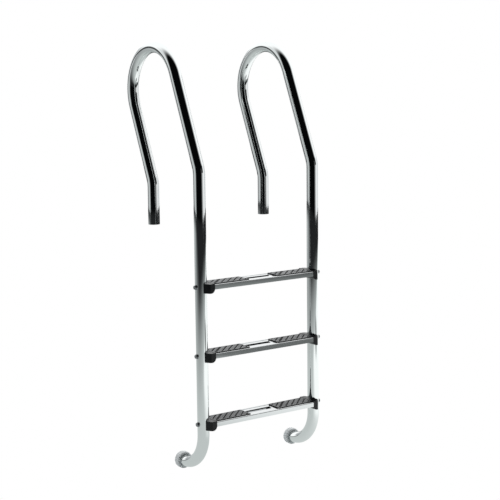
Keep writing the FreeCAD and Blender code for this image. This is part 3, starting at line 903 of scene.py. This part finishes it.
def build_cap(level, side_name, side):
    """A copy of the carved cap with its ridge, mirrored for the left side and set on its tube."""
    name = f"{LEVELS[level]}_tread_{side_name}_cap"
    mesh_data = bmesh.new()
    mesh_data.from_mesh(cap_mesh)
    ridge_middle = cap_reach - ridge_inset - ridge_width / 2
    length = half_depth - cap_ease * 2

    def on_top(x, y, z):
        return Vector((ridge_middle + x, y, pad_top + z))

    foot = round_rectangle(ridge_width / 2, length, ridge_width / 3)
    head = round_rectangle(ridge_width / 2 - rib_ease, length - rib_ease, ridge_width / 4)
    add_block(mesh_data, foot, head, -cap_ease, ridge_height - rib_ease, ridge_height, on_top)
    mirror = Matrix.Diagonal((-side, 1, 1, 1))
    spot = Matrix.Translation((half_spacing * side, stringer_y, tread_z[level]))
    bmesh.ops.transform(mesh_data, matrix=spot @ mirror, verts=mesh_data.verts)
    return make_piece(name, mesh_data, cap_plastic, (name,), sharp=50)


for level, level_name in enumerate(LEVELS):
    for side_name, side in SIDES:
        weigh_normals(build_cap(level, side_name, side))
    print(level_name, "caps set at z =", round(tread_z[level], 3))

# %% [markdown]
# ## The fasteners
# An M8 bolt clamps each end of each tread: a hexagon head and a hollowed washer outside the tube, a
# flat washer and a nut inside the channel. A plain hexagonal prism looks like a toy. A real head is
# turned before it is stamped, so a cone cuts its corners. That needs no Boolean: on each ring a
# point is as far out as the hexagon allows, and the height of the cone at that place gives its level.

# %% Shape hexagons with turned corners
bolt_drop = 11 * MM
bolt_radius = 4 * MM
bolt_clearance = 0.3 * MM
bolt_tail = 3 * MM
across_flats = 13 * MM
turned_radius = across_flats / 2 * 0.97
head_height = 5.3 * MM
dish_depth = 0.25 * MM
dish_share = 0.72
nut_height = 6.5 * MM
washer_thickness = 1.6 * MM
washer_radius = 7 * MM
saddle_washer_radius = 9 * MM
saddle_washer_crown = 2 * MM
washer_gap = 0.05 * MM
washer_ease = 0.25 * MM
saddle_washer_ease = 0.4 * MM
thread_pitch = 1.25 * MM
thread_depth = 0.6 * MM
thread_crest = (0.35, 0.65)
SEAM = 0.001 * MM
SHANK_SIDES = 32
WASHER_SIDES = 48
SADDLE_WASHER_SIDES = 64
corner_cone = math.tan(math.radians(30))
HEX_POINTS = 72


def hexagon_ring(level_at, radius_limit=None):
    """Points (along, across, up) round a hexagon; level_at gives the height for each radius."""
    ring = []
    for step in range(HEX_POINTS):
        turn = 2 * math.pi * step / HEX_POINTS
        from_flat = (turn + math.pi / 6) % (math.pi / 3) - math.pi / 6
        radius = across_flats / 2 / math.cos(from_flat)
        if radius_limit:
            radius = min(radius, radius_limit)
        ring.append((level_at(radius), radius * math.sin(turn), radius * math.cos(turn)))
    return ring


def cut_corner(height, radius, way):
    """Level of the end face at a radius, where the cone has taken the corners off."""
    return height - max(0, radius - turned_radius) * corner_cone * way


def inward_frame(level, side):
    """Puts (along, across, up) beside a bolt's axis: along grows outwards from the tread."""
    height = tread_z[level] - bolt_drop
    return lambda along, across, up: Vector((along * side, stringer_y + across, height + up))


def make_fastener(mesh_data, level, side_name, kind, node):
    """Lay the UV map for the steel's lines and make the piece, one of six in the same node."""
    mesh_data.normal_update()
    flat_uv(mesh_data)
    name = f"{LEVELS[level]}_{side_name}_{kind}"
    return make_piece(name, mesh_data, fastener_steel, (node,), sharp=30)


print("points round a hexagon:", len(hexagon_ring(lambda radius: 0)))

# %% Shape the bolts
head_start = half_spacing + tube_radius + saddle_washer_crown + washer_gap
nut_start = channel_end - sheet - washer_thickness - nut_height


def build_bolt(level, side_name, side):
    """Head, shank and a thread of rolled ridges, seen only inside the channel."""
    place = inward_frame(level, side)
    mesh_data = bmesh.new()
    top = head_start + head_height
    face = hexagon_ring(lambda radius: top, turned_radius)
    dish = [(top - dish_depth, across * dish_share, up * dish_share) for _, across, up in face]
    rings = [
        hexagon_ring(lambda radius: head_start),
        hexagon_ring(lambda radius: cut_corner(top, radius, 1)),
        face,
        dish,
    ]
    skin(mesh_data, [[place(*point) for point in ring] for ring in rings], capped=True)
    start = nut_start - bolt_tail
    profile = [(start, bolt_radius - thread_depth * 1.5)]
    ridges = int((nut_height + bolt_tail) / thread_pitch)
    for ridge in range(ridges):
        for share in thread_crest:
            profile.append((start + thread_pitch * (ridge + share), bolt_radius))
        profile.append((start + thread_pitch * (ridge + 1), bolt_radius - thread_depth))
    profile += [(start + thread_pitch * (ridges + 0.5), bolt_radius), (head_start, bolt_radius)]
    lathe(mesh_data, profile, SHANK_SIDES, place)
    return make_fastener(mesh_data, level, side_name, "bolt", "tread_bolts")


print("bolt heads start at x =", round(head_start, 4))

# %% Shape the nuts
def build_nut(level, side_name, side):
    """A nut whose corners are turned off at both faces."""
    place = inward_frame(level, side)
    mesh_data = bmesh.new()
    low, high = nut_start, nut_start + nut_height
    rings = [
        hexagon_ring(lambda radius: low, turned_radius),
        hexagon_ring(lambda radius: cut_corner(low, radius, -1)),
        hexagon_ring(lambda radius: cut_corner(high, radius, 1)),
        hexagon_ring(lambda radius: high, turned_radius),
        circle_points(bolt_radius, HEX_POINTS, lambda a, b: (high, b, a)),
        circle_points(bolt_radius, HEX_POINTS, lambda a, b: (low, b, a)),
        hexagon_ring(lambda radius: low, turned_radius),
    ]
    skin(mesh_data, [[place(*point) for point in ring] for ring in rings])
    bmesh.ops.remove_doubles(mesh_data, verts=mesh_data.verts, dist=SEAM)
    return make_fastener(mesh_data, level, side_name, "nut", "tread_nuts")


print("nuts start at x =", round(nut_start, 4))

# %% Shape the washers
bolt_hole = bolt_radius + bolt_clearance


def build_washer(level, side_name, side):
    """A stamped flat washer: its edges are eased by the punch."""
    place = inward_frame(level, side)
    mesh_data = bmesh.new()
    low, high = channel_end - sheet - washer_thickness, channel_end - sheet
    eased = washer_radius - washer_ease
    profile = [(low, bolt_hole), (low, eased), (low + washer_ease, washer_radius),
               (high - washer_ease, washer_radius), (high, eased), (high, bolt_hole), (low, bolt_hole)]
    rings = [circle_points(radius, WASHER_SIDES, lambda a, b: place(along, a, b))
             for along, radius in profile]
    skin(mesh_data, rings)
    bmesh.ops.remove_doubles(mesh_data, verts=mesh_data.verts, dist=SEAM)
    return make_fastener(mesh_data, level, side_name, "flat_washer", "tread_flat_washers")


def build_saddle_washer(level, side_name, side):
    """A thick washer, flat under the bolt head and hollowed to the tube's roundness."""
    place = inward_frame(level, side)
    mesh_data = bmesh.new()
    seat = tube_radius + washer_gap

    def on_tube(across):
        return half_spacing + math.sqrt(seat ** 2 - across ** 2)

    radii = (saddle_washer_radius, saddle_washer_radius - saddle_washer_ease, bolt_hole)
    outer, eased, inner = [circle_points(radius, SADDLE_WASHER_SIDES, lambda a, b: (a, b))
                           for radius in radii]
    rings = [
        [place(on_tube(a), a, b) for a, b in inner],
        [place(on_tube(a), a, b) for a, b in outer],
        [place(head_start - saddle_washer_ease, a, b) for a, b in outer],
        [place(head_start, a, b) for a, b in eased],
        [place(head_start, a, b) for a, b in inner],
        [place(on_tube(a), a, b) for a, b in inner],
    ]
    skin(mesh_data, rings)
    bmesh.ops.remove_doubles(mesh_data, verts=mesh_data.verts, dist=SEAM)
    return make_fastener(mesh_data, level, side_name, "saddle_washer", "tread_saddle_washers")


print("hole in the washers in mm:", round(2 * bolt_hole / MM, 1))

# %% Bolt the treads to the rails
for level, level_name in enumerate(LEVELS):
    for side_name, side in SIDES:
        for build in (build_bolt, build_nut, build_washer, build_saddle_washer):
            build(level, side_name, side)
    print(level_name, "tread bolted at z =", round(tread_z[level] - bolt_drop, 3))

# %% [markdown]
# ## The foot bumpers
# A bumper is a thick soft cup pressed on the end of the foot. It is round all over, so it is turned
# on a lathe: a profile with a wide round on the wall side, a smaller round at the mouth and a bevel
# that opens round the tube. The profile's round corners come from the same helper as the treads.

# %% Turn the bumpers
bumper_mouth = 2.5 * MM
bumper_grip = 0.1 * MM
bumper_bore = tube_radius + bumper_grip
bumper_round = 9 * MM
mouth_round = 4 * MM
face_dish = 0.6 * MM
dish_floor_share = 0.45
dish_rim_share = 0.5
middle_radius = 1 * MM
BUMPER_SIDES = 96
foot_end_y = stringer_y + foot_radius + foot_straight
bumper_low, bumper_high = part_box("left_foot_bumper")
bumper_radius = (bumper_high.x - bumper_low.x) / 2
bumper_open = bumper_low.y - foot_end_y
bumper_face = bumper_high.y - foot_end_y


def build_bumper(side_name, side):
    """The profile runs from the middle of the wall face, over the rim, to the floor of the bore."""
    corners = (
        (bumper_face - face_dish, middle_radius, 0),
        (bumper_face - face_dish, bumper_radius * dish_floor_share, 0),
        (bumper_face, bumper_radius * dish_rim_share, 0.5 * MM),
        (bumper_face, bumper_radius, bumper_round),
        (bumper_open, bumper_radius, mouth_round),
        (bumper_open, bumper_bore + bumper_mouth, 0.6 * MM),
        (bumper_open + bumper_mouth, bumper_bore, 0.3 * MM),
        (0, bumper_bore, 0),
        (0, middle_radius, 0),
    )
    profile = round_outline(corners, steps=8)
    mesh_data = bmesh.new()
    lathe(mesh_data, profile, BUMPER_SIDES, lambda along, a, b: Vector(
        (half_spacing * side + a, foot_end_y + along, foot_z + b)))
    name = f"{side_name}_foot_bumper"
    return make_piece(name, mesh_data, bumper_rubber, (name,))


for side_name, side in SIDES:
    bumper = build_bumper(side_name, side)
    print(bumper.name, "faces:", len(bumper.data.polygons))

# %% [markdown]
# ## The studio
# Polished steel has no look of its own: it shows the room. So the room is made with care, as a
# photographer sets it up: bright paper behind and above the ladder, pale walls at both sides and a
# dark space in front, which draws the long black band down each tube. Real cards would stand in the
# way of other views, so the room is painted on the world by direction, and it stays where it is when
# the camera moves. The camera itself sees only plain white behind the ladder.

# %% Set the camera
camera_place = Vector((-2.673, -4.089, 0.602))
camera_yaw = math.radians(34.94)
camera_pitch = math.radians(8.44)
camera_roll = math.radians(-0.65)
forward = Vector((math.sin(camera_yaw) * math.cos(camera_pitch),
                  math.cos(camera_yaw) * math.cos(camera_pitch), -math.sin(camera_pitch)))
level_right = Vector((math.cos(camera_yaw), -math.sin(camera_yaw), 0))
level_up = level_right.cross(forward)
right = level_right * math.cos(camera_roll) + level_up * math.sin(camera_roll)
upward = level_up * math.cos(camera_roll) - level_right * math.sin(camera_roll)

camera = bpy.data.objects.new("camera", bpy.data.cameras.new("camera"))
bpy.context.scene.collection.objects.link(camera)
turned = Matrix((right, upward, -forward)).transposed().to_4x4()
camera.matrix_world = Matrix.Translation(camera_place) @ turned
camera.data.sensor_width = 36
camera.data.lens = 92.4
bpy.context.scene.camera = camera
bpy.context.scene.view_settings.view_transform = "Standard"
print("camera looks along", [round(part, 3) for part in forward])

# %% Build the group for one card of the room
def build_card():
    """A mask that is 1 inside a range of azimuth and elevation, in degrees, with soft edges."""
    inputs = (("Azimuth", FLOAT, 0.0), ("Elevation", FLOAT, 0.0), ("From", FLOAT, 0.0),
              ("To", FLOAT, 0.0), ("Low", FLOAT, 0.0), ("High", FLOAT, 0.0),
              ("Soft Sides", FLOAT, 4.0), ("Soft Ends", FLOAT, 4.0))
    group, start, end = new_group("card", inputs, (("Mask", FLOAT),))
    link = group.links.new
    edges = []
    for value, bound, rising in (("Azimuth", "From", True), ("Azimuth", "To", False),
                                 ("Elevation", "Low", True), ("Elevation", "High", False)):
        past = add_node(group, "ShaderNodeMath", operation="SUBTRACT")
        link(start.outputs[value], past.inputs[0 if rising else 1])
        link(start.outputs[bound], past.inputs[1 if rising else 0])
        share = add_node(group, "ShaderNodeMath", operation="DIVIDE")
        link(past.outputs[0], share.inputs[0])
        link(start.outputs["Soft Sides" if value == "Azimuth" else "Soft Ends"], share.inputs[1])
        edges.append(fading(group, share.outputs[0], -0.5, 0.5))
    link(times(group, *edges), end.inputs["Mask"])
    return group


card_group = build_card()
print("group:", card_group.name)

# %% Choose what the room shows in each direction
DARK = (0.002, 0.0022, 0.0024)
WHITE = (1.0, 1.0, 1.0)
BRIGHT = (1.2, 1.21, 1.21)
PAPER_ENDS, DARK_BEGINS = -0.22, 0.32  # cosines of the angle from straight in front
ROOM = (
    # name, from, to, low, high, softness of the sides and of the ends, color
    # azimuth 0 is straight in front, + to the left
    ("foot of the backdrop at the left", 158, 181, -14, 3, 8, 4, (0.36, 0.38, 0.38)),
    ("foot of the backdrop at the right", -181, -158, -14, 3, 8, 4, (0.40, 0.42, 0.42)),
    ("left wall", 64, 103, -9, 12, 22, 5, (0.58, 0.61, 0.61)),
    ("tall end of the left wall", 84, 103, 10, 30, 10, 8, (0.82, 0.85, 0.85)),
    ("gap behind the left wall", 106, 133, -20, 5, 6, 5, (0.08, 0.085, 0.085)),
    ("left end of the backdrop", 126, 152, -9, 14, 10, 6, (0.45, 0.47, 0.48)),
    ("right wall", -112, -65, -7.2, 20, 50, 3, (1.0, 1.01, 1.01)),
    ("gap over the right wall", -86, -56, 5, 26, 6, 4, (0.012, 0.013, 0.014)),
    ("right end of the backdrop", -146, -112, -9, 12, 8, 6, (0.78, 0.80, 0.81)),
)
level_front = Vector((-forward.x, -forward.y, 0)).normalized()
level_left = -level_right
print("cards in the room:", len(ROOM))

# %% Paint the room
def angles_of(tree, direction):
    """Azimuth and elevation of a direction, in degrees."""
    azimuth = add_node(tree, "ShaderNodeMath", operation="ARCTAN2")
    tree.links.new(reach_along(tree, direction, level_left), azimuth.inputs[0])
    tree.links.new(reach_along(tree, direction, level_front), azimuth.inputs[1])
    parts = add_node(tree, "ShaderNodeSeparateXYZ")
    tree.links.new(direction, parts.inputs[0])
    elevation = add_node(tree, "ShaderNodeMath", operation="ARCSINE")
    tree.links.new(parts.outputs["Z"], elevation.inputs[0])
    degrees = []
    for angle in (azimuth, elevation):
        counted = add_node(tree, "ShaderNodeMath", operation="DEGREES")
        tree.links.new(angle.outputs[0], counted.inputs[0])
        degrees.append(counted.outputs[0])
    return degrees


def paint_world():
    """The room for mirrors and for light, and plain white for the camera."""
    world = bpy.data.worlds.new("studio")
    bpy.context.scene.world = world
    world.use_nodes = True
    tree = world.node_tree
    direction = add_node(tree, "ShaderNodeTexCoord").outputs["Generated"]
    azimuth, elevation = angles_of(tree, direction)
    front = fading(tree, reach_along(tree, direction, level_front), PAPER_ENDS, DARK_BEGINS)
    painted = mix_colors(tree, front, BRIGHT, DARK)
    for name, start, stop, low, high, soft_sides, soft_ends, color in ROOM:
        card = place_group(tree, card_group, From=start, To=stop, Low=low, High=high,
                           Soft_Sides=soft_sides, Soft_Ends=soft_ends)
        card.label = name
        tree.links.new(azimuth, card.inputs["Azimuth"])
        tree.links.new(elevation, card.inputs["Elevation"])
        painted = mix_colors(tree, card.outputs["Mask"], painted, color)
    seen = add_node(tree, "ShaderNodeLightPath").outputs["Is Camera Ray"]
    painted = mix_colors(tree, seen, painted, WHITE)
    tree.links.new(painted, tree.nodes["Background"].inputs["Color"])
    return world


world = paint_world()
print("nodes that paint the room:", len(world.node_tree.nodes))

# %% Lay the floor
FLOOR_RADIUS = 12
DISC_SIDES = 96


def lay_disc(name, radius, height, material):
    """A flat disc that belongs to the studio and not to the ladder."""
    mesh_data = bmesh.new()
    ring = circle_points(radius, DISC_SIDES, lambda a, b: Vector((a, b, height)))
    mesh_data.faces.new([mesh_data.verts.new(point) for point in ring])
    mesh = bpy.data.meshes.new(name)
    mesh_data.to_mesh(mesh)
    mesh_data.free()
    mesh.materials.append(material)
    disc = bpy.data.objects.new(name, mesh)
    bpy.context.scene.collection.objects.link(disc)
    return disc


def build_floor():
    """A pale round floor under the feet, so evenly lit that the camera sees it as plain white."""
    material, tree, shader = new_material("white sweep", (0.85, 0.86, 0.86), 0.0, 0.8)
    glow = add_node(tree, "ShaderNodeEmission", values={"Color": (*WHITE, 1), "Strength": 1.0})
    mix = add_node(tree, "ShaderNodeMixShader")
    path = add_node(tree, "ShaderNodeLightPath")
    tree.links.new(path.outputs["Is Camera Ray"], mix.inputs["Fac"])
    tree.links.new(shader.outputs["BSDF"], mix.inputs[1])
    tree.links.new(glow.outputs["Emission"], mix.inputs[2])
    tree.links.new(mix.outputs["Shader"], tree.nodes["Material Output"].inputs["Surface"])
    floor = lay_disc("floor", FLOOR_RADIUS, cad_low.z, material)
    floor.visible_glossy = False


build_floor()
print("floor at z =", round(cad_low.z, 3))

# %% [markdown]
# ### The light on the floor
# The floor's own reflection matters too. Close to the feet the paper is softly lit, on the right it
# is bright and ends in a clean edge, on the left and behind it is hazy, and far in front it is nearly
# dark. A second disc shows this to mirrors only: it gives light off by its place on the floor, and
# the camera never sees it.

# %% Choose the light on the floor
PAPER_RADIUS = 8.4
PAPER_LIFT = 0.2 * MM
RIM_FADE = 2.0
FAR_COLOR = (0.018, 0.019, 0.02)
HAZE_COLOR = (0.55, 0.58, 0.58)
SOFT_COLOR = (0.62, 0.66, 0.65)
BRIGHT_COLOR = (1.15, 1.18, 1.17)
# Round masks: the middle's x and y, and the distances from it where the mask is 0 and where it is 1.
SOFT_POOL = (0.95, -0.44, 5.2, 1.45)
BRIGHT_POOL = (1.83, 1.09, 4.05, 3.45)
OUT_OF_SHADE = (1.27, -2.15, 0.35, 0.75)
SHADE_KEEPS = 0.3  # share of the soft light that is left in the shade
# Straight masks: the reach to the front or to the left of the stringers where each is 0 and 1.
BEHIND_FRONT = (5.0, -4.0)
LEFT_SIDE = (0.6, 3.6)
RIGHT_SIDE = (0.0, -0.9)
paper_height = cad_low.z + PAPER_LIFT
stringers_left = level_left.y * stringer_y
print("lit paper, radius in m:", PAPER_RADIUS)

# %% Lay the lit paper that the steel mirrors
def around(tree, place, x, y, outside, inside):
    """A round mask on the floor: 0 at the first distance from its middle and 1 at the second."""
    away = add_node(tree, "ShaderNodeVectorMath", operation="DISTANCE", values={1: (x, y, paper_height)})
    tree.links.new(place, away.inputs[0])
    return fading(tree, away.outputs["Value"], outside, inside)


def light_by_place(tree):
    """The light that each place of the paper gives off."""
    place = add_node(tree, "ShaderNodeTexCoord").outputs["Object"]
    leftward = reach_along(tree, place, level_left)
    left_side, right_side = [fading(tree, leftward, *(stringers_left + reach for reach in side))
                             for side in (LEFT_SIDE, RIGHT_SIDE)]
    behind_front = fading(tree, reach_along(tree, place, level_front), *BEHIND_FRONT)
    inside_rim = around(tree, place, 0, 0, PAPER_RADIUS, PAPER_RADIUS - RIM_FADE)
    unshaded = around(tree, place, *OUT_OF_SHADE)
    half_shaded = add_node(tree, "ShaderNodeMapRange", values={"To Min": SHADE_KEEPS})
    tree.links.new(unshaded, half_shaded.inputs["Value"])
    hazy = times(tree, behind_front, left_side, inside_rim)
    soft = times(tree, around(tree, place, *SOFT_POOL), half_shaded.outputs["Result"])
    bright = times(tree, around(tree, place, *BRIGHT_POOL), right_side, unshaded)
    light = mix_colors(tree, hazy, FAR_COLOR, HAZE_COLOR)
    light = mix_colors(tree, soft, light, SOFT_COLOR)
    return mix_colors(tree, bright, light, BRIGHT_COLOR)


def lay_lit_paper():
    """A disc that gives off its own light and that only reflections show."""
    material = bpy.data.materials.new("lit paper")
    material.use_nodes = True
    tree = material.node_tree
    tree.nodes.clear()
    glow = add_node(tree, "ShaderNodeEmission", values={"Strength": 1.0})
    surface = add_node(tree, "ShaderNodeOutputMaterial")
    tree.links.new(light_by_place(tree), glow.inputs["Color"])
    tree.links.new(glow.outputs["Emission"], surface.inputs["Surface"])
    paper = lay_disc("lit_paper", PAPER_RADIUS, paper_height, material)
    paper.visible_camera = False
    paper.visible_diffuse = False
    paper.visible_shadow = False
    return paper


paper = lay_lit_paper()
print("the camera sees the paper:", paper.visible_camera)

# %% Hang a soft light over the ladder
light = bpy.data.lights.new("overhead soft light", "AREA")
light.shape = "DISK"
light.size = 1.6
light.energy = 30
lamp = bpy.data.objects.new("overhead soft light", light)
bpy.context.scene.collection.objects.link(lamp)
lamp.location = (-0.6, -1.2, 2.6)
towards_ladder = (cad_low + cad_high) / 2 - lamp.location
lamp.rotation_euler = towards_ladder.to_track_quat("-Z", "Y").to_euler()
lamp.visible_glossy = False
print("light of", light.energy, "W at", [round(part, 1) for part in lamp.location])
